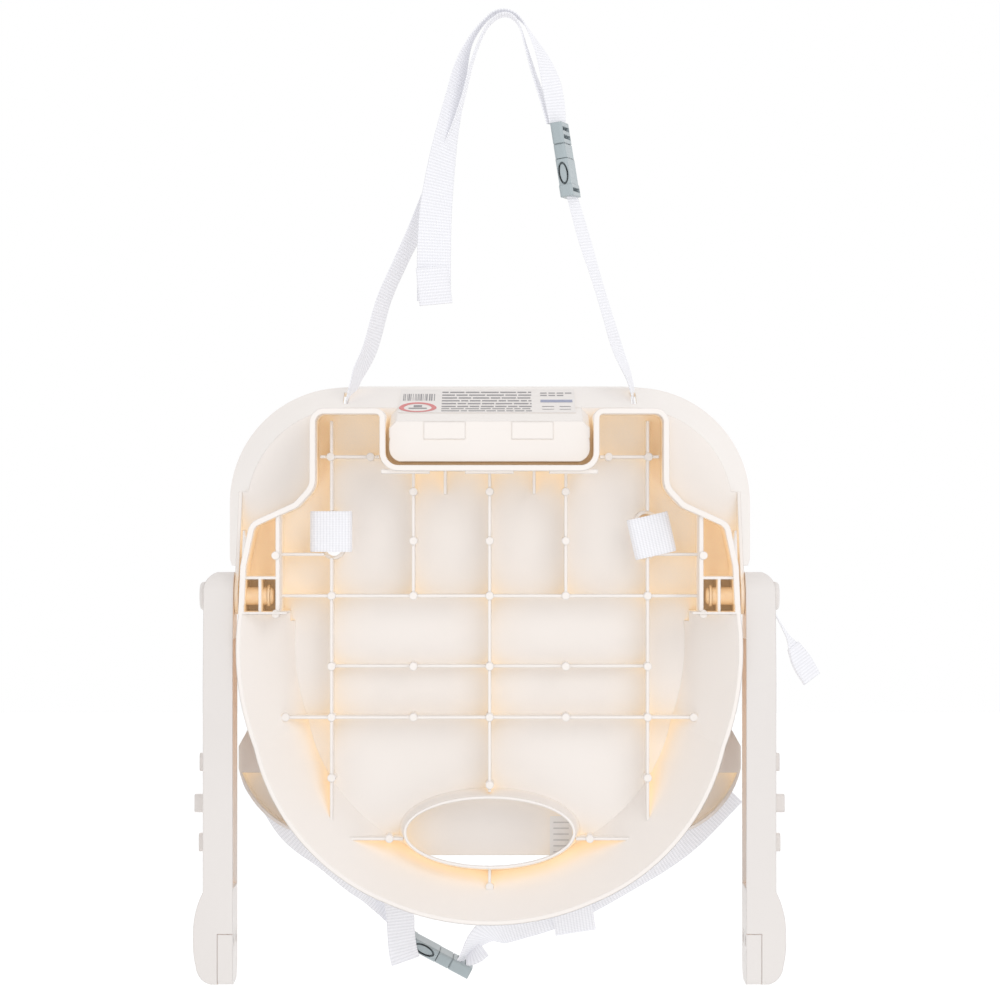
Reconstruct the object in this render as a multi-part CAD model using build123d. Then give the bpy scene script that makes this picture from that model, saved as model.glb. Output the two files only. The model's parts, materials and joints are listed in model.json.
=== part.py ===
from build123d import *
import os

# Baby dining booster seat, hung up by its chair strap with the underside of the seat towards -Y.
# X runs across the seat, Y from the flat base rim into the seat, Z up. Millimetres.
# Shapes are drawn from the arm pivot axis, with z up the seat, and are moved down to hang from the origin.
PIVOT_BELOW_HOOK = 417.0
PIVOT_Y = 25.0

# Base moulding
BASE_HALF_WIDTH = 176.0
BASE_FRONT = -230.0
TOWER_REAR = 132.3
TOWER_IN, TOWER_OUT = 73.0, 126.0
NOTCH_FLOOR = 92.4
BOWL_REAR = -12.0
RIM, BLOCK_WALL, SKIN = 3.0, 4.0, 3.0
FLOOR_Y = 48.0
BASE_TOP = FLOOR_Y + SKIN
BOWL_X, BOWL_Z = 0.80, 0.84
RIB = 2.1
RIB_Y = 27.0
BOSS_R = 2.9
GRIP_Z, GRIP_X_R, GRIP_Z_R = -167.0, 57.6, 22.6

# Seat pan
PAN_Y0, PAN_SKIN, PAN_RIM_Y = 51.4, 3.0, 70.0
PAN_HALF_WIDTH, PAN_WAIST = 179.5, 166.0
PAN_FRONT = -186.0
PAN_REAR = 27.0

# Backrest shell
SHELL_HALF_WIDTH = 190.0
SHELL_REAR = 150.0
SHELL_CORNER = 84.0
SHELL_WALL = 3.0
SHELL_LOW_Y, SHELL_BEND_Y, SHELL_TOP_Y = 55.0, 105.0, 320.0
SHELL_INSET = 16.0
SHELL_FRONT = 20.0
DECK_FRONT = 45.0
BLOCK_HALF, BLOCK_LOW, BLOCK_FRONT, BLOCK_REAR = 70.5, 7.0, 94.6, 123.3
BLOCK_CORNER = 5.0
SWEEP_R = 96.6
EAR_IN, EAR_OUT = 177.1, 179.7

# Arms
ARM_IN, ARM_OUT = 180.1, 201.0
ARM_HALF = 22.0
ARM_TIP = -272.5
ARM_WALL = 2.6
HUB_R = 17.0
PIPS = [(-117.3, 3.6), (-146.4, 7.2), (-174.0, 4.2)]
CAP_IN, CAP_SPLIT, CAP_TOP = 180.1, 191.0, -236.5
SCREW_Z, SCREW_APART = -242.0, 10.0

# Pivots
SHAFT_R = 6.3
RUNNING = 0.05

# Webbing
WEB, WEB_THICK = 25.0, 1.4
SLOT_X, SLOT_Z = 111.0, 43.0
STRAP_Y = PAN_RIM_Y + 0.1

SIDES = {"left": -1, "right": 1}


def slab(sketch, y0, y1):
    return extrude(Plane.XZ.offset(-y1) * sketch, amount=y1 - y0)


def box(x0, x1, y0, y1, z0, z1):
    centre = Pos((x0 + x1) / 2, (y0 + y1) / 2, (z0 + z1) / 2)
    return centre * Box(abs(x1 - x0), abs(y1 - y0), abs(z1 - z0))


def rod(x0, x1, y, z, radius):
    return Pos((x0 + x1) / 2, y, z) * Rot(0, 90, 0) * Cylinder(radius, abs(x1 - x0))


def fillet_points(sketch, corners):
    for x, z, radius in corners:
        near = [v for v in sketch.vertices() if abs(abs(v.X) - x) < 0.6 and abs(v.Y - z) < 0.6]
        sketch = fillet(near, radius)
    return sketch


# The bowl is the flared front of the base: a D of three arcs a side, drawn at any depth.
def bowl_outline(inset=0.0, across=1.0, along=1.0):
    w = BASE_HALF_WIDTH * across - inset
    f = (BASE_FRONT - BOWL_REAR) * along + inset

    def at(part_x, part_z):
        return (w * part_x, BOWL_REAR + f * part_z)

    half = []
    for s in (-1, 1):
        p = [at(s * x, z) for x, z in (
            (1.0, 0.0), (0.995, 0.26), (0.938, 0.43),
            (0.744, 0.739), (0.408, 0.931), (0.207, 0.983), (0.0, 1.0))]
        half += [ThreePointArc(p[0], p[1], p[2]), ThreePointArc(p[2], p[3], p[4]), ThreePointArc(p[4], p[5], p[6])]
    half += [Line(at(-1.0, 0.0), at(1.0, 0.0))]
    return make_face(half)


def rear_outline(inset=0.0):
    w = BASE_HALF_WIDTH
    points = [
        (0, NOTCH_FLOOR), (TOWER_IN, NOTCH_FLOOR), (TOWER_IN, TOWER_REAR), (TOWER_OUT, TOWER_REAR),
        (TOWER_OUT, 78.0), (137.0, 66.0), (168.0, 52.0), (w - 1.5, 22.0), (w, BOWL_REAR)]
    ring = points + [(-x, z) for x, z in reversed(points[1:])]
    sketch = make_face(Polyline(*ring, close=True))
    sketch = fillet_points(sketch, [
        (TOWER_IN, NOTCH_FLOOR, 9.0), (TOWER_IN, TOWER_REAR, 7.0), (TOWER_OUT, TOWER_REAR, 10.0),
        (TOWER_OUT, 78.0, 12.0), (137.0, 66.0, 8.0), (168.0, 52.0, 11.0), (w - 1.5, 22.0, 20.0)])
    return offset(sketch, -inset, kind=Kind.INTERSECTION) if inset else sketch


def bowl(inset, y0, y1):
    low = Plane.XZ.offset(-y0) * bowl_outline(inset)
    high = Plane.XZ.offset(-y1) * bowl_outline(inset, BOWL_X, BOWL_Z)
    return loft([low, high], ruled=True)


def rib(x0, z0, x1, z1, y0=RIB_Y):
    half = RIB / 2
    if x0 == x1:
        return box(x0 - half, x0 + half, y0, FLOOR_Y + 1, z0, z1)
    return box(x0, x1, y0, FLOOR_Y + 1, z0 - half, z0 + half)


def boss(x, z, y0=RIB_Y - 0.6):
    return Pos(x, (y0 + FLOOR_Y + 1) / 2, z) * Rot(90, 0, 0) * Cylinder(BOSS_R, FLOOR_Y + 1 - y0)


def base_ribs():
    parts = [rib(0, 87, 0, -139), rib(0, -191, 0, -216)]
    for s in (-1, 1):
        parts += [
            rib(s * 54, 87, s * 54, 0), rib(s * 31.5, 92, s * 31.5, 72), rib(s * 112, 124, s * 112, 60),
            rib(s * 112, 27, s * 112, -188), rib(s * 78, 98.5, s * 120, 98.5), rib(s * 149, 29.4, s * 117, 29.4),
            rib(s * 61, -172, s * 113, -172)]
        parts += [boss(s * x, z) for x, z in (
            (54, 73.8), (54, 38.9), (112, 0), (54, 0), (112, -50), (54, -50), (144.5, -86), (112, -86), (54, -86),
            (112, -129), (112, -172), (71, -172), (112.7, 98.5), (84.4, 98.5))]
        parts += [boss(s * 150, z, 2.2) for z in (29.0, BOWL_REAR)]
    parts += [rib(-148, 0, 148, 0), rib(-112, -50, 112, -50, RIB_Y + 7), rib(-158, -86, 158, -86)]
    parts += [boss(0, z) for z in (73.8, 38.9, 0, -50, -86, -134, -206)]
    return parts


def base_boxes():
    parts = []
    for s in (-1, 1):
        parts += [
            box(s * 147.0, s * 150.0, 3, FLOOR_Y + 1, BOWL_REAR, 58),
            box(s * 150, s * 173, 3, FLOOR_Y + 1, 12.3, 14.3),
            box(s * 147, s * 174, 3, FLOOR_Y + 1, BOWL_REAR - 0.5, BOWL_REAR + 1.5),
            box(s * 160, s * 162, 3, FLOOR_Y + 1, BOWL_REAR, 13)]
    for x in (0, -59, 59):
        parts.append(box(x - 17, x + 17, 3, 20, NOTCH_FLOOR - 6, NOTCH_FLOOR - 3))
    return parts


def slot_ring(x, z, wide, tall):
    return Pos(x, z) * SlotOverall(tall, wide, rotation=90)


# The hand hole widens away from its mouth, so that the fingers can curl round its edge.
def grip_hole(wall, y0, y1):
    mouth = Plane.XZ.offset(-y0) * (Pos(0, GRIP_Z) * Ellipse(GRIP_X_R + wall, GRIP_Z_R + wall))
    back = Plane.XZ.offset(-y1) * (Pos(0, GRIP_Z) * Ellipse(GRIP_X_R + 4 + wall, GRIP_Z_R + 4 + wall))
    return loft([mouth, back])


def make_seat_base():
    body = bowl(0, 0, BASE_TOP) + slab(rear_outline(), 0, BASE_TOP)
    join = Pos(0, BOWL_REAR) * Rectangle(284, 12) + Pos(0, BOWL_REAR + 4) * Rectangle(344, 5)
    hollow = bowl(RIM, -0.01, FLOOR_Y) + slab(rear_outline(BLOCK_WALL) + join, -0.01, FLOOR_Y)
    inside = base_ribs() + base_boxes()
    body -= hollow
    for piece in inside:
        body += piece & hollow
    for s in (-1, 1):
        body += slab(slot_ring(s * SLOT_X, SLOT_Z, 17, 35), 34, BASE_TOP)
        body -= slab(slot_ring(s * SLOT_X, SLOT_Z, 12, 30), 30, BASE_TOP + 1)
        body -= rod(s * 155, s * 182, PIVOT_Y, 0, SHAFT_R + RUNNING)
    return body + grip_hole(3.2, 22, BASE_TOP) - grip_hole(0, 10, BASE_TOP + 1)


def pan_outline(inset=0.0):
    w, waist, f, r = PAN_HALF_WIDTH - inset, PAN_WAIST - inset, PAN_FRONT + inset, PAN_REAR - inset
    edges = [Line((-92, f), (92, f)), Line((-waist, r), (waist, r))]
    for s in (-1, 1):
        edges += [
            Line((s * waist, r), (s * waist, -84)), Line((s * waist, -84), (s * w, -108)),
            Line((s * w, -108), (s * w, -124)),
            ThreePointArc((s * w, -124), (s * (w - 12.5), f + 36), (s * (w - 34), f + 19)),
            Line((s * (w - 34), f + 19), (s * 92, f))]
    return make_face(edges)


# Outside the base the pan turns into a flange with a thin lip hanging from its edge.
def flange_hollow(grow):
    hollow = pan_outline(1.6 - grow * 0.8) - (bowl_outline(0, 0.9, 0.93 - grow * 0.01))
    return hollow - Pos(0, -27) * Rectangle(400, 200 - 2 * grow)


# The seat pan is the upper moulding: a shallow tray with a rolled edge over the base.
def make_seat_pan():
    pan = slab(pan_outline(), PAN_Y0, PAN_RIM_Y)
    pan -= slab(pan_outline(PAN_SKIN), PAN_Y0 + PAN_SKIN, PAN_RIM_Y + 1)
    lip = slab(pan_outline(), PAN_RIM_Y - 3, PAN_RIM_Y)
    pan += lip - slab(pan_outline(9), PAN_RIM_Y - 4, PAN_RIM_Y + 1)
    pan -= box(-91, 91, PAN_Y0 + PAN_SKIN, PAN_RIM_Y + 1, PAN_FRONT - 1, PAN_FRONT + 10)
    pan += slab(flange_hollow(2), PAN_Y0, PAN_RIM_Y)
    return pan - slab(flange_hollow(0), PAN_Y0 - 1, PAN_RIM_Y - PAN_SKIN)


def shell_outline(inset=0.0, lift=0.0):
    w, r, c = SHELL_HALF_WIDTH - inset, SHELL_REAR - inset + lift, SHELL_CORNER - inset * 0.7
    front = SHELL_FRONT
    m = 0.2929 * c
    edges = [
        Line((-w, front), (-w, r - c)), ThreePointArc((-w, r - c), (-w + m, r - m), (-w + c, r)),
        Line((-w + c, r), (w - c, r)), ThreePointArc((w - c, r), (w - m, r - m), (w, r - c)),
        Line((w, r - c), (w, front)), Line((w, front), (-w, front))]
    return make_face(edges)


def shell_solid(inset):
    low = Plane.XZ.offset(-SHELL_LOW_Y) * shell_outline(SHELL_INSET + inset)
    bend = Plane.XZ.offset(-SHELL_BEND_Y) * shell_outline(inset)
    top = Plane.XZ.offset(-SHELL_TOP_Y) * shell_outline(inset + 6, 14)
    return loft([low, bend], ruled=True) + loft([bend, top], ruled=True)


# The side view of the backrest: high at the rear, swept down to the hip beside the pivot.
def wing_cut():
    side = make_face([
        Line((95, SHELL_FRONT - 5), (340, SHELL_FRONT - 5)), Line((340, SHELL_FRONT - 5), (340, 118)),
        ThreePointArc((340, 118), (215, 92), (128, 42)), ThreePointArc((128, 42), (110, 30), (95, SHELL_FRONT - 5))])
    return extrude(Plane.YZ.offset(-210) * side, amount=420)


# One section of the block behind the seat, its rear corners taken off, as deep as the shell slopes out.
def block_section(rear):
    h, c, front = BLOCK_HALF, BLOCK_CORNER, BLOCK_REAR - 12
    return make_face(Polyline(
        (-h, front), (h, front), (h, rear - c), (h - c, rear), (c - h, rear), (-h, rear - c), close=True))


def make_block():
    top = SHELL_LOW_Y + 1
    block = slab(Pos(0, (BLOCK_FRONT + BLOCK_REAR - 6) / 2) * RectangleRounded(
        2 * BLOCK_HALF, BLOCK_REAR - 6 - BLOCK_FRONT, 9.6), BLOCK_LOW, top)
    block += loft([Plane.XZ.offset(-BLOCK_LOW) * block_section(BLOCK_REAR),
                   Plane.XZ.offset(-top) * block_section(SHELL_REAR - SHELL_INSET)], ruled=True)
    block -= rod(-BLOCK_HALF - 1, BLOCK_HALF + 1, PIVOT_Y, 0, SWEEP_R)
    block -= box(-BLOCK_HALF + 3, BLOCK_HALF - 3, BLOCK_LOW + 3, top + 4, BLOCK_FRONT + 6, BLOCK_REAR - 3)
    for x in (-31.6, 30.2):
        block += box(x - 14.5, x + 14.5, BLOCK_LOW - 0.7, BLOCK_LOW + 1, 110.7, BLOCK_REAR - 0.6)
    return block


def make_backrest():
    inner = shell_solid(SHELL_WALL)
    shell = shell_solid(0) - inner
    opening = box(-200, 200, SHELL_LOW_Y - 1, SHELL_TOP_Y + 1, SHELL_FRONT - 1, SHELL_FRONT + 0.2)
    shell = shell - opening - wing_cut()
    deck = slab(shell_outline(SHELL_INSET), SHELL_LOW_Y, SHELL_LOW_Y + SHELL_WALL)
    deck -= box(-200, 200, 40, 70, 0, DECK_FRONT)
    shell = shell + deck + make_block()
    for s in (-1, 1):
        disc = rod(s * EAR_IN, s * EAR_OUT, PIVOT_Y, 0, 13)
        profile = make_face(Polyline((PIVOT_Y - 6, 11), (PIVOT_Y + 9, -9), (60, 46), (60, 74), (55, 74), close=True))
        web = extrude(Plane.YZ.offset(min(s * EAR_IN, s * EAR_OUT)) * profile, amount=EAR_OUT - EAR_IN)
        shelf = box(s * 172, s * EAR_OUT, SHELL_LOW_Y, SHELL_LOW_Y + SHELL_WALL, 46, 74)
        shell = shell + disc + web + shelf
        shell -= rod(s * 170, s * 185, PIVOT_Y, 0, SHAFT_R + RUNNING)
        shell -= box(s * 101.8, s * 105.6, 64.5, 92.5, 132, 152)
    return shell


def arm_profile(inset=0.0):
    r = HUB_R - inset
    half = ARM_HALF - inset
    tip = ARM_TIP + inset
    y = PIVOT_Y
    side = make_face([
        ThreePointArc((y - r, 0), (y, r), (y + r, 0)), Line((y + r, 0), (y + half, -60)),
        Line((y + half, -60), (y + half, tip + 14)), ThreePointArc(
            (y + half, tip + 14), (y + half - 4.1, tip + 4.1), (y + half - 14, tip)),
        Line((y + half - 14, tip), (y - half + 5, tip)), ThreePointArc(
            (y - half + 5, tip), (y - half + 1.5, tip + 1.5), (y - half, tip + 5)),
        Line((y - half, tip + 5), (y - half, -60)), Line((y - half, -60), (y - r, 0))])
    return side


def across(profile, x0, x1):
    low = min(x0, x1)
    return extrude(Plane.YZ.offset(low) * profile, amount=abs(x1 - x0))


# The outline of the right arm seen along Y: a straight outer side, a round shoulder and a swollen tip.
def arm_front():
    out, top, low, inner = ARM_OUT, HUB_R + 0.6, ARM_TIP - 0.6, ARM_IN - 1
    edges = [
        Line((inner, top), (out - 12, top)),
        ThreePointArc((out - 12, top), (out - 3.4, top - 4.0), (out, top - 12.6)),
        Line((out, top - 12.6), (out, -207)),
        ThreePointArc((out, -207), (out + 4.6, -219), (out + 6.8, -238)),
        ThreePointArc((out + 6.8, -238), (out + 6.6, -249), (out + 5.0, -259)),
        ThreePointArc((out + 5.0, -259), (out + 0.6, -268.6), (out - 9, low)),
        Line((out - 9, low), (inner, low)), Line((inner, low), (inner, top))]
    return make_face(edges)


def make_right_arm():
    outer = across(arm_profile(), ARM_IN, ARM_OUT + 8) & slab(arm_front(), 0, 60)
    channel = across(arm_profile(ARM_WALL), ARM_IN - 1, ARM_OUT - ARM_WALL)
    channel -= box(170, 215, -5, 60, -30, 40)
    channel -= box(170, 215, -5, 60, -205, -300)
    arm = outer - channel
    arm -= rod(ARM_IN - 1, 197.5, PIVOT_Y, 0, SHAFT_R + RUNNING)
    pocket = across(arm_profile(), ARM_IN - 1, CAP_SPLIT)
    pocket &= box(170, 192, -5, 60, CAP_TOP, -300)
    arm -= pocket
    for z, out in PIPS:
        pip = box(ARM_OUT - 2, ARM_OUT + out, PIVOT_Y - 6.3, PIVOT_Y + 6.3, z - 6.3, z + 6.3)
        arm += fillet(pip.edges().filter_by(Axis.X), 3)
    return arm


def make_arm_cap(s):
    cap = across(arm_profile(0.15), s * CAP_IN, s * (CAP_SPLIT - 0.2))
    cap &= box(s * 170, s * 192, -5, 60, CAP_TOP - 0.25, -300)
    for y in (PIVOT_Y - SCREW_APART, PIVOT_Y + SCREW_APART):
        cap -= rod(s * (CAP_IN - 1), s * (CAP_IN + 2.5), y, SCREW_Z, 4.2)
        cap -= rod(s * CAP_IN, s * 192, y, SCREW_Z, 1.9)
    return cap


def make_cap_screws(s):
    screws = []
    for y in (PIVOT_Y - SCREW_APART, PIVOT_Y + SCREW_APART):
        head = rod(s * (CAP_IN + 0.4), s * (CAP_IN + 2.4), y, SCREW_Z, 3.6)
        shank = rod(s * (CAP_IN + 2.4), s * (CAP_SPLIT - 0.6), y, SCREW_Z, 1.6)
        slot = box(s * (CAP_IN + 0.3), s * (CAP_IN + 1.2), y - 2.6, y + 2.6, SCREW_Z - 0.4, SCREW_Z + 0.4)
        screws.append(head + shank - slot)
    return Compound(children=screws)


def make_hub_cover(s):
    disc = rod(s * (ARM_OUT + 0.1), s * (ARM_OUT + 3.6), PIVOT_Y, 0, 10)
    return fillet(disc.edges().group_by(Axis.X)[-1 if s > 0 else 0], 2.6)


def make_shaft(s):
    shaft = rod(s * 152.5, s * 197, PIVOT_Y, 0, SHAFT_R)
    shaft = fillet(shaft.edges().group_by(Axis.X)[0 if s > 0 else -1], 3)
    groove = rod(s * 154.9, s * 157.1, PIVOT_Y, 0, SHAFT_R + 2) - rod(s * 154, s * 158, PIVOT_Y, 0, SHAFT_R - 1.2)
    return shaft - groove


def make_clip(s):
    ring = rod(s * 155.2, s * 156.8, PIVOT_Y, 0, SHAFT_R + 1.6) - rod(s * 155, s * 157, PIVOT_Y, 0, SHAFT_R - 1.15)
    return ring - box(s * 155, s * 157, PIVOT_Y - 3.2, PIVOT_Y + 3.2, -12, 0)


# Webbing whose edge faces -Y: a trace in X and Z, given its width along Y.
def edge_webbing(points, y0, y1):
    return slab(trace(Polyline(*points), WEB_THICK), y0, y1)


# Webbing whose face is towards -Y: a trace in Y and Z, given its width along X.
def face_webbing(points, x0, x1):
    return extrude(Plane.YZ.offset(x0) * trace(Polyline(*points), WEB_THICK), amount=x1 - x0)


CHAIR_Y0, CHAIR_Y1 = 89.0, 114.0
CHAIR_UPPER = [
    (-97, 155), (-84, 185), (-66, 229), (-47, 276), (-33, 323), (-25, 360), (-14, 393), (0, 415), (13, 423),
    (26, 413), (36, 388), (43, 366), (49, 347)]
CHAIR_LOWER = [(60.5, 284), (73, 243), (88, 199), (101, 156)]
CHAIR_TAIL = [(84, 394), (82, 360), (84, 290), (86, 209)]
HARNESS_LEFT = [
    (-163.0, -112.0), (-166.8, -130.0), (-155.8, -145.6), (-143.2, -167.8), (-134.2, -173.9), (-116.0, -185.4),
    (-96.4, -203.6), (-82.0, -212.0)]
HARNESS_RIGHT = [
    (171.0, -143.0), (155.8, -159.0), (140.4, -174.6), (122.4, -187.4), (102.0, -199.6), (69.0, -218.2),
    (41.6, -231.4), (-1.4, -243.8)]


BUCKLE_W, BUCKLE_T = 31.0, 9.0
SOCKET_LOW, SOCKET_TOP, SHOULDER_TOP, PLUG_TOP = -18.5, 9.0, 20.0, 35.8
WINDOW_Z, WINDOW_LONG, WINDOW_TALL = -1.5, 8.2, 3.6


def buckle_block(wide, thick, z0, z1, round_r):
    block = Pos(0, 0, (z0 + z1) / 2) * Box(wide, thick, z1 - z0)
    return fillet(block.edges().filter_by(Axis.Z), round_r)


# An oval seen from the buckle's narrow side, from the middle out to x.
def side_oval(x, long, tall):
    oval = Plane.YZ.offset(min(0, x)) * (Pos(0, WINDOW_Z) * Ellipse(tall, long))
    return extrude(oval, amount=abs(x))


# The socket half: open at the top for the prongs, with an oval window for a thumb on each narrow side.
def buckle_socket():
    w, t = BUCKLE_W, BUCKLE_T
    body = buckle_block(w, t, SOCKET_LOW, SOCKET_TOP, 2.2)
    body += buckle_block(w + 0.8, t + 0.8, SOCKET_LOW, SOCKET_LOW + 8.5, 2.2)
    body -= Pos(0, 0, 1.5) * Box(w - 5, t - 3.2, 23)
    for x in (-w, w):
        body -= side_oval(x, WINDOW_LONG, WINDOW_TALL)
    return body - Pos(0, 0, SOCKET_LOW + 4.5) * Box(w - 5, t + 2, 3.0)


# The plug half: a shoulder and a strap adjuster, with two sprung prongs whose pads fill the socket's windows.
def buckle_plug():
    w, t = BUCKLE_W, BUCKLE_T
    body = buckle_block(w - 0.6, t - 0.4, SOCKET_TOP + 0.4, PLUG_TOP, 2.2)
    groove = Pos(0, 0, SHOULDER_TOP) * (Box(w + 2, t + 2, 0.8) - Box(w - 2.2, t - 2.0, 0.8))
    body -= groove
    for z in (SHOULDER_TOP + 5, SHOULDER_TOP + 11):
        body -= Pos(0, 0, z) * Box(w - 6, t + 2, 3.0)
    for x in (-1, 1):
        prong = Pos(x * (w / 2 - 5.4), 0, 1.5) * Box(3.4, t - 4.4, 21)
        pad = side_oval(x * (w / 2 - 0.7), WINDOW_LONG - 1.5, WINDOW_TALL - 1.2)
        pad &= Pos(x * (w / 2 - 3.4), 0, WINDOW_Z) * Box(6.0, t, 30)
        body = body + (prong + pad)
    return body


def chair_place():
    return Pos(56.1, 101, 307) * Rot(0, -9, 0) * Rot(0, 0, 78)


def harness_place():
    return Pos(-46.1, 92, -257.6) * Rot(0, 118, 0) * Rot(0, 0, -89)


# Webbing lying flat against the pan's rim: its middle line in X and Z.
def flat_webbing(points, y0, wide=WEB):
    return slab(trace(Polyline(*points), wide), y0, y0 + WEB_THICK)


def make_harness_strap(s):
    run = HARNESS_RIGHT if s > 0 else HARNESS_LEFT
    return flat_webbing(run, STRAP_Y) & box(-PAN_HALF_WIDTH, PAN_HALF_WIDTH, 60, 90, -300, -90)


def make_loop(s):
    tilt = -12.9 if s > 0 else 0
    centre = Pos(SLOT_X + 3.9, 0, SLOT_Z - 0.3) if s > 0 else Pos(-SLOT_X - 1.4, 0, SLOT_Z + 2.6)
    return centre * Rot(0, tilt, 0) * box(-12.7, 12.7, 24.8, 26.2, -14.5, 14.5)


# The label follows the block's rear wall and then the shell's slope.
def make_warning_label():
    bend, rear = SHELL_LOW_Y - 0.5, SHELL_REAR - SHELL_INSET
    z_low = BLOCK_REAR + (rear - BLOCK_REAR) * (36 - BLOCK_LOW) / (SHELL_LOW_Y + 1 - BLOCK_LOW)
    z_high = rear + SHELL_INSET * (99 - SHELL_LOW_Y) / (SHELL_BEND_Y - SHELL_LOW_Y)
    line = [(36, z_low + 0.15), (bend, rear + 0.15), (99, z_high + 0.15)]
    skin = make_face(Polyline(*line, *[(y, z + 0.3) for y, z in reversed(line)], close=True))
    return extrude(Plane.YZ.offset(-65) * skin, amount=126.4)


def build():
    nodes = {"seat_base": make_seat_base(), "seat_pan": make_seat_pan(), "backrest": make_backrest()}
    nodes["right_arm"] = make_right_arm()
    nodes["left_arm"] = mirror(nodes["right_arm"], about=Plane.YZ)
    for side, s in SIDES.items():
        nodes[f"{side}_arm_cap"] = make_arm_cap(s)
        nodes[f"{side}_cap_screws"] = make_cap_screws(s)
        nodes[f"{side}_hub_cover"] = make_hub_cover(s)
        nodes[f"{side}_pivot_shaft"] = make_shaft(s)
        nodes[f"{side}_shaft_clip"] = make_clip(s)
        nodes[f"{side}_strap_loop"] = make_loop(s)
    nodes["warning_label"] = make_warning_label()
    nodes["chair_strap_upper"] = edge_webbing(CHAIR_UPPER, CHAIR_Y0, CHAIR_Y1)
    nodes["chair_strap_lower"] = edge_webbing(CHAIR_LOWER, CHAIR_Y0, CHAIR_Y1)
    nodes["chair_strap_tail"] = face_webbing(CHAIR_TAIL, -50, -28)
    nodes["chair_buckle_socket"] = chair_place() * buckle_socket()
    nodes["chair_buckle_plug"] = chair_place() * buckle_plug()
    nodes["harness_strap_left"] = make_harness_strap(-1)
    nodes["harness_strap_right"] = make_harness_strap(1)
    nodes["harness_tail_left"] = flat_webbing([(-75.0, -207.0), (-66.5, -222.0), (-62.5, -264.0)], STRAP_Y + 1.6, 19)
    nodes["harness_tail_right"] = flat_webbing([(46.5, -237.5), (76.0, -229.5)], STRAP_Y - 1.6, 18)
    nodes["harness_link"] = flat_webbing([(-18.6, -265.4), (-6.0, -249.0)], 88, 13)
    nodes["harness_side_tail"] = edge_webbing([(206.5, -12), (210, -26), (220, -44), (232, -66)], 92, 114)
    nodes["harness_buckle_socket"] = harness_place() * buckle_socket()
    nodes["harness_buckle_plug"] = harness_place() * buckle_plug()
    return nodes


os.makedirs("parts", exist_ok=True)
for name, shape in build().items():
    export_step(Pos(0, 0, -PIVOT_BELOW_HOOK) * shape, f"parts/{name}.step")
    print(name, round(shape.volume))
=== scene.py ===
import json
import math
import random

import bpy
import numpy as np
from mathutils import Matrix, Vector


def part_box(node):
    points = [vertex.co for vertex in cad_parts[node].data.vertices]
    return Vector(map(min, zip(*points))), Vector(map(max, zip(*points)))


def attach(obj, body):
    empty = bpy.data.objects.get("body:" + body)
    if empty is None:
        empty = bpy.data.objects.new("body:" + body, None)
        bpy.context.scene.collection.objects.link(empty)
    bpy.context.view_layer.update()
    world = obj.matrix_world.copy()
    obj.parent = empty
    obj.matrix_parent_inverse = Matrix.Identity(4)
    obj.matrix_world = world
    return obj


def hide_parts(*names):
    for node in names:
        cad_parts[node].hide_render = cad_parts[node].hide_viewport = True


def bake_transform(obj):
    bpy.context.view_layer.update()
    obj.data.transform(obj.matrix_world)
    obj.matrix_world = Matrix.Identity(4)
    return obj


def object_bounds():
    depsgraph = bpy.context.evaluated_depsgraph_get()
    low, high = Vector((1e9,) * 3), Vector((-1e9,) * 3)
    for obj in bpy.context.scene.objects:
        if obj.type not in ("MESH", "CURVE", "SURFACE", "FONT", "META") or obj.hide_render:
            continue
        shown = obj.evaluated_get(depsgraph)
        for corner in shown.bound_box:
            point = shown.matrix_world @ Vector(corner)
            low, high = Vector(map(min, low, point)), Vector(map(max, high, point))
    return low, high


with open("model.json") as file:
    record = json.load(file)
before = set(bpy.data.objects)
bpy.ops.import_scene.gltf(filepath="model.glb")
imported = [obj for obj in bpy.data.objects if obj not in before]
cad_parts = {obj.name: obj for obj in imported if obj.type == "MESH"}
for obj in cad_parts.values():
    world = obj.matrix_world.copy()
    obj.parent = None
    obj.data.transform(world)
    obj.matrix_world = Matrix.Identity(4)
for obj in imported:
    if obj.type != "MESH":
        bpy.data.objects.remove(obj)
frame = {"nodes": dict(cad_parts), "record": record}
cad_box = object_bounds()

# The seat hangs with its underside towards -Y. Lengths are metres. Heights are given from the arm pivots' axis:
# x runs across the seat, y into it and z up it.
shaft_low, shaft_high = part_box("left_pivot_shaft")
PIVOT_Z = shaft_low[2] / 2 + shaft_high[2] / 2
random.seed(7)

SEAT, BACKREST = "seat", "backrest"


def at(x, y, z):
    return (x, y, PIVOT_Z + z)


# ---------------------------------------------------------------- materials

# How open a place is, from 0 in a crack to 1 in the open, against its share of the painted warm tint and of the
# painted glow, which stand in for light bouncing in hollows and coming through the thin plastic.
PAINTED_HOLLOW_TINT = [(0.06, (1.0,) * 3), (0.45, (0.0,) * 3)]
PAINTED_HOLLOW_GLOW = [(0.02, (0.16,) * 3), (0.13, (1.0,) * 3), (0.34, (0.40,) * 3), (0.52, (0.28,) * 3),
               (0.76, (0.0,) * 3)]
HOLLOW_REACH, HOLLOW_SAMPLES = 0.032, 8
# Noise scales of the plastic: slow tone, gloss, flow waves and satin grain.
DRIFT_SCALE, GLOSS_SCALE, FLOW_SCALE, GRAIN_SCALE = 9.0, 38.0, 26.0, 2600.0
EDGE_ROUNDING, EDGE_SAMPLES = 0.0011, 4
PLASTIC_IOR = 1.49
# Noise scales of the tape, and its yarns' bands per metre.
STAIN_SCALE, FUZZ_SCALE, YARN_SCALE = 60.0, 1500.0, 260.0
# Blender's band texture repeats every 2 pi / 20 of its own units at scale 1.
BAND_PERIOD = 2 * math.pi / 20


def new_material(name):
    mat = bpy.data.materials.new(name)
    mat.use_nodes = True
    return mat, mat.node_tree.nodes, mat.node_tree.links, mat.node_tree.nodes["Principled BSDF"]


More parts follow.
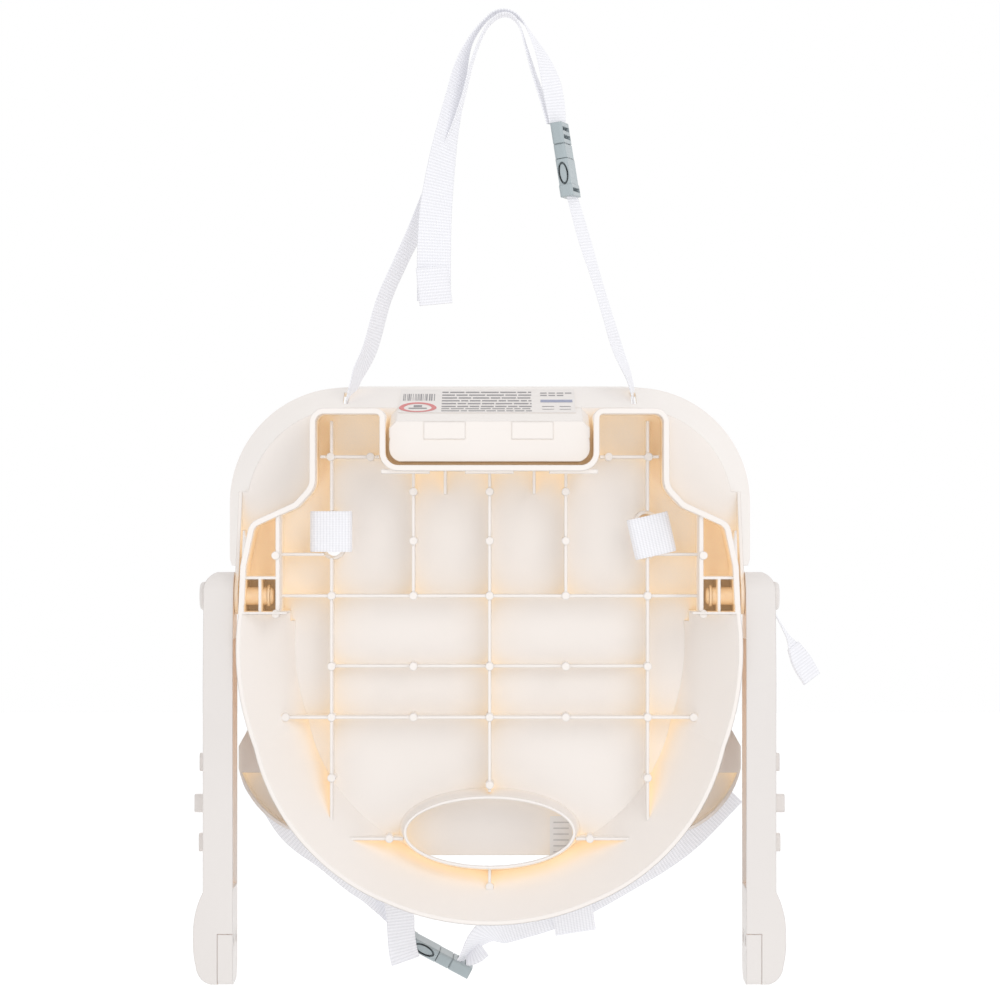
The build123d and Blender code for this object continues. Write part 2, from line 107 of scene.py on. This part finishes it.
def noise(nodes, links, scale, detail=4.0):
    place = nodes.new("ShaderNodeTexCoord")
    tex = nodes.new("ShaderNodeTexNoise")
    tex.inputs["Scale"].default_value = scale
    tex.inputs["Detail"].default_value = detail
    links.new(place.outputs["Object"], tex.inputs["Vector"])
    return tex


def ramp(nodes, links, source, stops):
    node = nodes.new("ShaderNodeValToRGB")
    while len(node.color_ramp.elements) < len(stops):
        node.color_ramp.elements.new(0.5)
    for element, (place, colour) in zip(node.color_ramp.elements, stops):
        element.position = place
        element.color = (*colour, 1.0)
    links.new(source, node.inputs["Fac"])
    return node


def bump(nodes, links, height, shader, strength, distance, before=None):
    node = nodes.new("ShaderNodeBump")
    node.inputs["Strength"].default_value = strength
    node.inputs["Distance"].default_value = distance
    links.new(height, node.inputs["Height"])
    if before:
        links.new(before.outputs["Normal"], node.inputs["Normal"])
    links.new(node.outputs["Normal"], shader.inputs["Normal"])
    return node


def plastic(name, pale, deep, rough, grain, painted_light_colour=None, glow=0.0, reach=HOLLOW_REACH):
    """Moulded plastic: slow drifts of tone, a fine satin grain and faint flow waviness. In narrow hollows the
    colour is painted over to a warm tint and the surface emits light: painted light, in place of light that
    bounces in the hollows and comes through the thin walls."""
    mat, nodes, links, shader = new_material(name)
    drift = noise(nodes, links, DRIFT_SCALE, 3.0)
    last = ramp(nodes, links, drift.outputs["Fac"], [(0.30, deep), (0.72, pale)]).outputs["Color"]
    # Painted light: places the occlusion finds shut in get a warm painted tint and emit light, standing in for light
    # bouncing inside and coming through the thin walls.
    if painted_light_colour:
        inside = nodes.new("ShaderNodeAmbientOcclusion")
        inside.samples = HOLLOW_SAMPLES
        inside.inputs["Distance"].default_value = reach
        share = ramp(nodes, links, inside.outputs["AO"], PAINTED_HOLLOW_TINT)
        mix = nodes.new("ShaderNodeMixRGB")
        links.new(share.outputs["Color"], mix.inputs["Fac"])
        links.new(last, mix.inputs["Color1"])
        mix.inputs["Color2"].default_value = (*painted_light_colour, 1.0)
        last = mix.outputs["Color"]
        through = ramp(nodes, links, inside.outputs["AO"], PAINTED_HOLLOW_GLOW)
        power = nodes.new("ShaderNodeMath")
        power.operation = "MULTIPLY"
        power.inputs[1].default_value = glow
        links.new(through.outputs["Color"], power.inputs[0])
        links.new(power.outputs["Value"], shader.inputs["Emission Strength"])
        shader.inputs["Emission Color"].default_value = (*painted_light_colour, 1.0)
    links.new(last, shader.inputs["Base Color"])
    fine = noise(nodes, links, GRAIN_SCALE, 3.0)
    gloss = ramp(nodes, links, noise(nodes, links, GLOSS_SCALE).outputs["Fac"],
                 [(0.3, (rough - 0.05,) * 3), (0.7, (rough + 0.06,) * 3)])
    links.new(gloss.outputs["Color"], shader.inputs["Roughness"])
    edge = nodes.new("ShaderNodeBevel")
    edge.samples = EDGE_SAMPLES
    edge.inputs["Radius"].default_value = EDGE_ROUNDING
    flow = noise(nodes, links, FLOW_SCALE, 2.0)
    waves = bump(nodes, links, flow.outputs["Fac"], shader, 0.10, 0.002, edge)
    bump(nodes, links, fine.outputs["Fac"], shader, grain, 0.0003, waves)
    shader.inputs["IOR"].default_value = PLASTIC_IOR
    return mat


def webbing_material(name, pale, deep):
    """Woven tape: the mesh carries the cross ribs, and this paints shade on them and adds the yarns that cross them.
    It emits light as well, a painted glow that keeps it white however it is lit."""
    mat, nodes, links, shader = new_material(name)
    uv = nodes.new("ShaderNodeUVMap")
    uv.uv_map = "weave"
    yarn = nodes.new("ShaderNodeTexWave")
    yarn.wave_type = "BANDS"
    yarn.bands_direction = "X"
    yarn.inputs["Scale"].default_value = YARN_SCALE
    yarn.inputs["Distortion"].default_value = 1.2
    links.new(uv.outputs["UV"], yarn.inputs["Vector"])
    ribs = nodes.new("ShaderNodeTexWave")
    ribs.bands_direction = "Y"
    ribs.inputs["Scale"].default_value = BAND_PERIOD / RIB_PITCH
    ribs.inputs["Distortion"].default_value = 0.3
    links.new(uv.outputs["UV"], ribs.inputs["Vector"])
    last = ramp(nodes, links, yarn.outputs["Fac"], [(0.1, deep), (0.7, pale)]).outputs["Color"]
    # The stain noise is the tape's own tone; the rib bands are painted shade, darkening the tape in step with its
    # ribs.
    for source, low, high in ((noise(nodes, links, STAIN_SCALE), 0.97, 1.0), (ribs, 1.0, 0.91)):
        tone = nodes.new("ShaderNodeMixRGB")
        tone.blend_type = "MULTIPLY"
        tone.inputs["Fac"].default_value = 1.0
        shade = ramp(nodes, links, source.outputs["Fac"], [(0.25, (low,) * 3), (0.85, (high,) * 3)])
        links.new(last, tone.inputs["Color1"])
        links.new(shade.outputs["Color"], tone.inputs["Color2"])
        last = tone.outputs["Color"]
    links.new(last, shader.inputs["Base Color"])
    # Painted glow: the tape emits its own colour, painted light that keeps it white on its shaded sides.
    links.new(last, shader.inputs["Emission Color"])
    shader.inputs["Emission Strength"].default_value = TAPE_PAINTED_GLOW
    fuzz = noise(nodes, links, FUZZ_SCALE, 2.0)
    first_bump = bump(nodes, links, yarn.outputs["Fac"], shader, 0.35, 0.0004)
    bump(nodes, links, fuzz.outputs["Fac"], shader, 0.25, 0.0003, first_bump)
    rough = ramp(nodes, links, fuzz.outputs["Fac"], [(0.3, (0.62,) * 3), (0.7, (0.8,) * 3)])
    links.new(rough.outputs["Color"], shader.inputs["Roughness"])
    shader.inputs["Sheen Weight"].default_value = 0.25
    return mat


def steel_material():
    mat, nodes, links, shader = new_material("zinc_steel")
    scratches = noise(nodes, links, 700.0)
    tone = ramp(nodes, links, scratches.outputs["Fac"], [(0.35, (0.22, 0.22, 0.23)), (0.7, (0.42, 0.42, 0.43))])
    links.new(tone.outputs["Color"], shader.inputs["Base Color"])
    shader.inputs["Metallic"].default_value = 1.0
    shader.inputs["Roughness"].default_value = 0.35
    bump(nodes, links, scratches.outputs["Fac"], shader, 0.2, 0.0002)
    return mat


# ---------------------------------------------------------------- webbing

RIB_PITCH = 0.0022
RIB_HEIGHT = 0.00022
TAPE_WIDTH, TAPE_THICK, HEM_THICK = 0.025, 0.0013, 0.0027
LOOP_WIDTH, PLUG_TAIL_WIDTH = 0.029, 0.013
# Strength of the tape's painted glow, which stands in for light the lamps don't bring to it.
TAPE_PAINTED_GLOW = 0.49
# A tape's section: places across its width from -0.5 to 0.5, and its share of the full thickness there.
SECTION_PLACES = (-0.5, -0.47, -0.38, -0.2, 0.0, 0.2, 0.38, 0.47, 0.5)
SECTION_BODY = (0.35, 0.85, 1.0, 1.0, 1.0, 1.0, 1.0, 0.85, 0.35)
# Past EDGE_FROM the edge draws in between two ribs, by SCALLOP of its place.
EDGE_FROM, SCALLOP = 0.46, 0.012
STEPS_PER_RIB, CURVE_STEPS = 5, 40


def smooth_path(points, step):
    """Points along a smooth curve through the given ones, step apart."""
    pts = np.array(points, float)
    ends = np.vstack([2 * pts[0] - pts[1], pts, 2 * pts[-1] - pts[-2]])
    fine = []
    for i in range(1, len(ends) - 2):
        p0, p1, p2, p3 = ends[i - 1:i + 3]
        for t in np.linspace(0, 1, CURVE_STEPS, endpoint=False):
            fine.append(0.5 * (2 * p1 + (p2 - p0) * t + (2 * p0 - 5 * p1 + 4 * p2 - p3) * t * t
                               + (3 * p1 - p0 - 3 * p2 + p3) * t ** 3))
    fine.append(pts[-1])
    fine = np.array(fine)
    along = np.concatenate([[0], np.cumsum(np.linalg.norm(np.diff(fine[:, :3], axis=0), axis=1))])
    stations = np.linspace(0, along[-1], max(4, int(along[-1] / step) + 1))
    return np.stack([np.interp(stations, along, fine[:, k]) for k in range(fine.shape[1])], axis=1), stations


def tape(name, route, material, width=TAPE_WIDTH, thick=TAPE_THICK, replaces=(), flat=False,
         bends=()):
    """A woven tape along route: points of (x, y, z, turn), where turn is the angle in degrees of the
    tape's width from +Y towards +X, or towards its own left hand when flat. If bends is given, it rides on no
    body and stays where it is built; the two heights in bends are not used."""
    rows, stations = smooth_path([(*at(x, y, z), turn) for x, y, z, turn in route], RIB_PITCH / STEPS_PER_RIB)
    centre, turn = rows[:, :3], np.radians(rows[:, 3])
    tangent = np.gradient(centre, axis=0)
    tangent /= np.linalg.norm(tangent, axis=1)[:, None]
    wide = np.stack([np.sin(turn), np.cos(turn), np.zeros(len(turn))], axis=1)
    if flat:
        left = np.cross(tangent, (0.0, 1.0, 0.0))
        wide = left * np.sin(turn)[:, None] + np.array((0.0, 1.0, 0.0)) * np.cos(turn)[:, None]
    wide -= (wide * tangent).sum(1)[:, None] * tangent
    wide /= np.linalg.norm(wide, axis=1)[:, None]
    face = np.cross(tangent, wide)
    part, body_of = np.array(SECTION_PLACES), np.array(SECTION_BODY)
    wave = 0.5 + 0.5 * np.cos(2 * math.pi * stations / RIB_PITCH)
    verts, uvs = [], []
    for side in (1, -1):
        order = range(len(part)) if side > 0 else range(len(part) - 1, -1, -1)
        for k in order:
            lift = body_of[k] * (thick / 2 - RIB_HEIGHT + RIB_HEIGHT * wave)
            scallop = part[k] * width * (1 - (SCALLOP * (1 - wave) if abs(part[k]) > EDGE_FROM else 0))
            across = wide * np.broadcast_to(scallop, len(wave))[:, None]
            verts.append(centre + across + face * (side * lift)[:, None])
            uvs.append((part[k] * width, stations))
    ring, count = len(verts), len(stations)
    points = np.stack(verts, axis=1).reshape(-1, 3)
    faces = []
    for i in range(count - 1):
        for k in range(ring):
            a, b = i * ring + k, i * ring + (k + 1) % ring
            faces.append((a, b, b + ring, a + ring))
    faces += [tuple(range(ring - 1, -1, -1)), tuple((count - 1) * ring + k for k in range(ring))]
    piece = mesh_piece(name, points.tolist(), faces, material, None if bends else SEAT)
    if bends:
        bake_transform(piece)
    layer = piece.data.uv_layers.new(name="weave")
    for loop in piece.data.loops:
        row, k = divmod(loop.vertex_index, ring)
        layer.data[loop.index].uv = (uvs[k][0], uvs[k][1][row])
    if replaces:
        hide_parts(*replaces)
    return piece


def mesh_piece(name, points, faces, material, body, smooth=True):
    """A mesh that rides on body, or on no body if body is None."""
    data = bpy.data.meshes.new(name)
    data.from_pydata([tuple(p) for p in points], [], faces)
    data.validate()
    data.polygons.foreach_set("use_smooth", [smooth] * len(data.polygons))
    data.materials.append(material)
    piece = bpy.data.objects.new(name, data)
    bpy.context.scene.collection.objects.link(piece)
    if body:
        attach(piece, body)
    return piece


# ---------------------------------------------------------------- the webbing's routes

# Each point is (x, y, z, turn), as tape() takes it.
CHAIR_Y = 0.1015
# Heights between which the chair strap goes over from the backrest to the seat.
MAIN_BENDS, LOWER_BENDS = (0.150, 0.320), (0.150, 0.285)

MAIN_RUN = [
    (-0.1035, 0.0785, 0.136, 2), (-0.1010, 0.0820, 0.146, 6), (-0.0960, 0.0925, 0.160, 16),
    (-0.087, CHAIR_Y, 0.180, 24),
    (-0.0775, CHAIR_Y, 0.2135, 24), (-0.0655, CHAIR_Y, 0.241, 24), (-0.0535, CHAIR_Y, 0.267, 26),
    (-0.040, CHAIR_Y, 0.303, 20), (-0.030, CHAIR_Y, 0.330, 8), (-0.0205, CHAIR_Y, 0.358, 4),
    (-0.0125, CHAIR_Y, 0.389, 2), (-0.0035, CHAIR_Y, 0.411, 0), (0.0055, CHAIR_Y, 0.4205, 0),
    (0.0145, CHAIR_Y, 0.4215, 0), (0.0215, CHAIR_Y, 0.414, 2), (0.0265, CHAIR_Y, 0.398, 6),
    (0.0325, CHAIR_Y, 0.378, 10), (0.0395, CHAIR_Y, 0.358, 14), (0.0445, CHAIR_Y, 0.342, 16)]

TAIL_RUN = [
    (0.0495, CHAIR_Y - 0.002, 0.343, 30), (0.047, CHAIR_Y - 0.003, 0.360, 36), (0.0435, CHAIR_Y - 0.004, 0.376, 34),
    (0.0385, CHAIR_Y - 0.003, 0.391, 24), (0.0315, CHAIR_Y - 0.001, 0.405, 12), (0.0235, CHAIR_Y, 0.4175, 3),
    (0.0145, CHAIR_Y, 0.4238, 0), (0.004, CHAIR_Y, 0.4235, 0), (-0.0055, CHAIR_Y, 0.4155, 2),
    (-0.0145, CHAIR_Y - 0.001, 0.402, 8), (-0.021, CHAIR_Y - 0.003, 0.383, 22), (-0.0265, CHAIR_Y - 0.006, 0.357, 32),
    (-0.032, CHAIR_Y - 0.010, 0.330, 42), (-0.0365, CHAIR_Y - 0.014, 0.301, 56), (-0.0395, CHAIR_Y - 0.016, 0.274, 70),
    (-0.0405, CHAIR_Y - 0.017, 0.245, 78), (-0.0405, CHAIR_Y - 0.017, 0.212, 80)]

LOWER_RUN = [
    (0.0595, CHAIR_Y, 0.291, 20), (0.063, CHAIR_Y, 0.279, 22), (0.0695, CHAIR_Y, 0.256, 24),
    (0.0775, CHAIR_Y, 0.230, 20), (0.0855, CHAIR_Y, 0.2035, 20), (0.0925, CHAIR_Y, 0.180, 22),
    (0.0985, 0.0935, 0.162, 16), (0.1020, 0.0830, 0.148, 6), (0.1040, 0.0785, 0.136, 2)]

TAIL_HEM = [(-0.0420, CHAIR_Y - 0.0195, 0.2365, 68), (-0.0405, CHAIR_Y - 0.0195, 0.223, 70),
            (-0.0390, CHAIR_Y - 0.0195, 0.2095, 72)]

# The harness lies against the rim of the pan, comes round its corners and meets at a buckle below the front edge.
# The side end and its hem hang free in the air: nothing holds them.
RIM_Y, HARNESS_Y = 0.0716, 0.092

LEFT_RUN = [
    (-0.1630, RIM_Y, -0.100, 90), (-0.1668, RIM_Y, -0.130, 90), (-0.1558, RIM_Y, -0.1456, 90),
    (-0.1432, RIM_Y, -0.1650, 90), (-0.1325, RIM_Y, -0.1755, 90), (-0.1160, RIM_Y, -0.1870, 90),
    (-0.0964, RIM_Y, -0.2030, 88), (-0.0830, RIM_Y + 0.002, -0.2125, 80), (-0.0740, 0.079, -0.2230, 50),
    (-0.0665, 0.087, -0.2370, 15), (-0.0605, HARNESS_Y, -0.2485, 0)]

LEFT_TAIL = [
    (-0.0700, 0.0700, -0.2060, 58), (-0.0665, 0.0690, -0.2180, 54), (-0.0645, 0.0680, -0.2300, 51),
    (-0.0638, 0.0675, -0.2440, 50), (-0.0625, 0.0675, -0.2560, 52), (-0.0605, 0.0675, -0.2640, 54)]

RIGHT_RUN = [
    (0.1730, RIM_Y, -0.1410, 90), (0.1558, RIM_Y, -0.1590, 90), (0.1404, RIM_Y, -0.1740, 90),
    (0.1224, RIM_Y, -0.1874, 90), (0.1020, RIM_Y, -0.1996, 90), (0.0690, RIM_Y, -0.2182, 90),
    (0.0416, RIM_Y, -0.2300, 90), (0.0220, RIM_Y, -0.2360, 88), (0.0070, RIM_Y + 0.001, -0.2410, 76),
    (-0.0030, 0.077, -0.2465, 52), (-0.0110, 0.084, -0.2545, 30), (-0.0175, 0.089, -0.2630, 18),
    (-0.0205, HARNESS_Y, -0.2680, 12)]

RIGHT_TAIL = [(0.0455, 0.0690, -0.2335, 90), (0.0600, 0.0688, -0.2312, 90), (0.0745, 0.0690, -0.2290, 90)]

PLUG_TAIL = [(-0.0170, 0.086, -0.2655, 30), (-0.0130, 0.085, -0.2640, 44), (-0.0085, 0.084, -0.2610, 56),
             (-0.0045, 0.083, -0.2572, 62)]

SIDE_TAIL = [
    (0.2045, 0.103, -0.0085, 4), (0.2082, 0.103, -0.0153, 4), (0.2130, 0.103, -0.0240, 5),
    (0.2178, 0.103, -0.0325, 10), (0.2205, 0.103, -0.0375, 19), (0.2270, 0.103, -0.0490, 37),
    (0.2345, 0.103, -0.0615, 38)]

SIDE_HEM = [(0.2212, 0.1022, -0.0385, 24), (0.2275, 0.1022, -0.0500, 39), (0.2350, 0.1022, -0.0628, 38)]


def loop_run(x, z, tilt):
    """The short band of webbing round a strap slot, its length across the slot and its ends tucked into it."""
    run = []
    for along, y in ((-14.4, 33.0), (-13.6, 28.4), (-11.0, 25.9), (-5.0, 25.3), (5.0, 25.3), (11.0, 25.9),
                     (13.6, 28.4), (14.4, 33.0)):
        run.append((x + along * math.cos(tilt) / 1000, y / 1000, z + along * math.sin(tilt) / 1000, 90))
    return run


def make_straps(material):
    tape("chair_strap_main", MAIN_RUN, material, replaces=("chair_strap_upper",),
         bends=MAIN_BENDS)
    tape("chair_strap_lower_run", LOWER_RUN, material, replaces=("chair_strap_lower",),
         bends=LOWER_BENDS)
    tape("chair_strap_free_tail", TAIL_RUN, material, replaces=("chair_strap_tail",))
    tape("chair_strap_hem", TAIL_HEM, material, thick=HEM_THICK)
    tape("harness_left_run", LEFT_RUN, material, replaces=("harness_strap_left",), flat=True)
    tape("harness_left_end", LEFT_TAIL, material, replaces=("harness_tail_left",), flat=True)
    tape("harness_right_run", RIGHT_RUN, material, replaces=("harness_strap_right", "harness_link"),
         flat=True)
    tape("harness_right_hem", RIGHT_TAIL, material, thick=HEM_THICK, replaces=("harness_tail_right",),
         flat=True)
    tape("harness_plug_tail", PLUG_TAIL, material, width=PLUG_TAIL_WIDTH, flat=True)
    tape("harness_side_end", SIDE_TAIL, material, replaces=("harness_side_tail",), flat=True)
    tape("harness_side_hem", SIDE_HEM, material, thick=HEM_THICK, flat=True)
    tape("left_loop_band", loop_run(-0.1124, 0.0456, 0.0), material, width=LOOP_WIDTH,
         replaces=("left_strap_loop",), flat=True)
    tape("right_loop_band", loop_run(0.1149, 0.0427, math.radians(12.9)), material, width=LOOP_WIDTH,
         replaces=("right_strap_loop",), flat=True)


# ---------------------------------------------------------------- labels

# The warning label follows the block's rear wall and then the shell's slope: depth into the seat, height.
LABEL_LINE = ((0.036, 0.13008), (0.0545, 0.13445), (0.099, 0.14853))
INK_LIFT = 0.00012
BARCODE_LEFT, BARCODE_RIGHT = -0.0625, -0.0395
TEXT_LEFT, TEXT_RIGHT, TEXT_LOW, TEXT_PITCH, TEXT_ROWS = -0.0345, 0.0300, 0.0400, 0.0071, 8
RING_PLACE, RING_SIZE, RING_INSIDE, RING_STEPS = (-0.0515, 0.0515), (0.0135, 0.0145), 0.74, 40


def label_point(x, y):
    heights = np.interp(y, [p[0] for p in LABEL_LINE], [p[1] for p in LABEL_LINE])
    return at(x, y, float(heights) + INK_LIFT)


def printed(name, boxes, material):
    """Ink on the warning label: boxes of (x0, x1, y0, y1), each split where the label bends."""
    points, faces = [], []
    for x0, x1, y0, y1 in boxes:
        cuts = [y0] + [p[0] for p in LABEL_LINE[1:-1] if y0 < p[0] < y1] + [y1]
        for low, high in zip(cuts, cuts[1:]):
            start = len(points)
            points += [label_point(x, y) for x, y in ((x0, low), (x1, low), (x1, high), (x0, high))]
            faces.append((start, start + 1, start + 2, start + 3))
    mesh_piece(name, points, faces, material, BACKREST, smooth=False)


def make_label(ink, red, blue):
    bars, lines, x = [], [], BARCODE_LEFT
    while x < BARCODE_RIGHT:
        wide = random.choice((0.0004, 0.0006, 0.0010))
        bars.append((x, x + wide, 0.070, 0.087))
        x += wide + random.choice((0.0005, 0.0007, 0.0011))
    for row in range(TEXT_ROWS):
        y = TEXT_LOW + TEXT_PITCH * row
        left, right = TEXT_LEFT, TEXT_RIGHT
        while left < right:
            word = min(random.uniform(0.004, 0.013), right - left)
            lines.append((left, left + word, y, y + 0.0030))
            left += word + 0.0011
    for row, count in ((0.082, 3), (0.088, 4)):
        lines += [(0.0365 + 0.006 * k, 0.0412 + 0.006 * k, row, row + 0.0025) for k in range(count)]
    lines += [(0.0375, 0.0460, 0.046, 0.0475), (0.0375, 0.0460, 0.055, 0.0565), (0.0500, 0.0580, 0.046, 0.0475),
              (0.0500, 0.0580, 0.055, 0.0565)]
    printed("label_bars", bars, ink)
    printed("label_lines", lines, ink)
    printed("label_band", [(0.0365, 0.0595, 0.0660, 0.0725)], blue)
    points, faces = [], []
    for k in range(RING_STEPS):
        a = 2 * math.pi * k / RING_STEPS
        for share in (RING_INSIDE, 1.0):
            points.append(label_point(RING_PLACE[0] + RING_SIZE[0] * share * math.cos(a),
                                      RING_PLACE[1] + RING_SIZE[1] * share * math.sin(a)))
    for k in range(RING_STEPS):
        a, b = 2 * k, 2 * ((k + 1) % RING_STEPS)
        faces.append((a, a + 1, b + 1, b))
    mesh_piece("label_ring", points, faces, red, BACKREST, smooth=False)
    printed("label_sign", [(-0.0580, -0.0450, 0.0480, 0.0520), (-0.0545, -0.0485, 0.0540, 0.0590)], ink)


def make_care_label(material, ink):
    """The small sewn label seen through the hand hole, between the two mouldings."""
    low, high, y = -0.197, -0.158, 0.0512
    points = [at(x, y, z) for x, z in ((0.043, low), (0.059, low), (0.059, high), (0.043, high))]
    label = mesh_piece("care_label", points, [(0, 1, 2, 3)], material, SEAT, smooth=False)
    rows = []
    for k in range(7):
        z = -0.163 - 0.0042 * k
        corners = ((0.0455, 0), (0.0565, 0), (0.0565, 0.0009), (0.0455, 0.0009))
        rows.append([at(x, y - 0.0001, z + dz) for x, dz in corners])
    points = [p for row in rows for p in row]
    faces = [tuple(range(4 * k, 4 * k + 4)) for k in range(len(rows))]
    mesh_piece("care_label_lines", points, faces, ink, SEAT, smooth=False)


# ---------------------------------------------------------------- stage, camera and light

CAMERA_X, CAMERA_Z, CAMERA_AWAY = 0.00735, 0.0679, 2.4
SEEN_WIDTH, SENSOR_WIDTH = 0.7, 36.0
LIGHT_SIZE = (1.6, 1.6)
WHITE = (1.0, 1.0, 1.0, 1.0)
FLOOR_HALF, FLOOR_DROP = 12.0, 0.55


def make_camera():
    data = bpy.data.cameras.new("camera")
    data.sensor_width = SENSOR_WIDTH
    data.lens = data.sensor_width * CAMERA_AWAY / SEEN_WIDTH
    camera = bpy.data.objects.new("camera", data)
    camera.location = (CAMERA_X, -CAMERA_AWAY, PIVOT_Z + CAMERA_Z)
    camera.rotation_euler = (math.radians(90), 0, 0)
    bpy.context.scene.collection.objects.link(camera)
    bpy.context.scene.camera = camera


def area_light(name, place, aim, power):
    data = bpy.data.lights.new(name, "AREA")
    data.shape = "RECTANGLE"
    data.size, data.size_y = LIGHT_SIZE
    data.energy = power
    light = bpy.data.objects.new(name, data)
    light.location = place
    light.rotation_euler = (Vector(aim) - Vector(place)).to_track_quat("-Z", "Y").to_euler()
    bpy.context.scene.collection.objects.link(light)


def make_stage():
    scene = bpy.context.scene
    scene.view_settings.view_transform = "Standard"
    world = bpy.data.worlds.new("studio")
    world.use_nodes = True
    backdrop = world.node_tree.nodes["Background"]
    backdrop.inputs["Color"].default_value = WHITE
    backdrop.inputs["Strength"].default_value = 1.0
    scene.world = world
    middle = (0.0, 0.1, PIVOT_Z)
    area_light("key", (1.5, -2.4, PIVOT_Z + 1.4), middle, 17)
    area_light("fill", (-1.6, -2.4, PIVOT_Z + 0.3), middle, 2)
    mat, nodes, links, shader = new_material("pale_floor")
    tone = ramp(nodes, links, noise(nodes, links, 0.6).outputs["Fac"], [(0.3, (0.93,) * 3), (0.7, (0.96,) * 3)])
    links.new(tone.outputs["Color"], shader.inputs["Base Color"])
    shader.inputs["Roughness"].default_value = 0.7
    shader.inputs["Emission Color"].default_value = WHITE
    shader.inputs["Emission Strength"].default_value = 0.12
    size, low = FLOOR_HALF, cad_box[0][2] - FLOOR_DROP
    corners = [(-size, -size, low), (size, -size, low), (size, size, low), (-size, size, low)]
    data = bpy.data.meshes.new("floor")
    data.from_pydata(corners, [], [(0, 1, 2, 3)])
    data.materials.append(mat)
    floor = bpy.data.objects.new("floor", data)
    scene.collection.objects.link(floor)


def paper_or_ink(name, pale, deep, rough=0.55):
    mat, nodes, links, shader = new_material(name)
    tone = ramp(nodes, links, noise(nodes, links, 220.0).outputs["Fac"], [(0.3, deep), (0.7, pale)])
    links.new(tone.outputs["Color"], shader.inputs["Base Color"])
    shader.inputs["Roughness"].default_value = rough
    return mat


def dress_nodes(film):
    # The warm colour after each plastic's grain is the painted light of its hollows, and the number after it the
    # strength of their painted glow.
    cream = plastic("cream_polypropylene", (0.815, 0.770, 0.738), (0.795, 0.748, 0.712), 0.42, 0.12,
                    (0.88, 0.71, 0.49), 0.31)
    arm = plastic("arm_polypropylene", (0.70, 0.665, 0.645), (0.68, 0.645, 0.625), 0.40, 0.12,
                  (0.90, 0.72, 0.58), 0.20, 0.07)
    grey = plastic("grey_acetal", (0.37, 0.425, 0.445), (0.33, 0.38, 0.40), 0.36, 0.15)
    look = {"cream_plastic": cream, "arm_plastic": arm, "buckle_grey": grey, "steel": steel_material(),
            "label_film": film}
    for part in frame["record"]["subparts"]:
        if part["material_slot"] in look:
            node = frame["nodes"][part["node"]]
            for slot in node.material_slots:
                slot.material = look[part["material_slot"]]


make_camera()
make_stage()
make_straps(webbing_material("white_tape", (0.61, 0.61, 0.635), (0.56, 0.56, 0.59)))
paper = paper_or_ink("label_paper", (0.77, 0.73, 0.705), (0.74, 0.70, 0.675), 0.45)
cloth = paper_or_ink("label_cloth", (0.86, 0.85, 0.85), (0.82, 0.81, 0.81), 0.7)
grey_ink = paper_or_ink("grey_ink", (0.30, 0.28, 0.29), (0.25, 0.24, 0.25))
pale_ink = paper_or_ink("pale_ink", (0.62, 0.61, 0.62), (0.58, 0.57, 0.58))
red_ink = paper_or_ink("red_ink", (0.66, 0.22, 0.22), (0.60, 0.18, 0.18))
blue_ink = paper_or_ink("blue_ink", (0.32, 0.34, 0.46), (0.28, 0.30, 0.42))
make_label(grey_ink, red_ink, blue_ink)
make_care_label(cloth, pale_ink)
dress_nodes(paper)
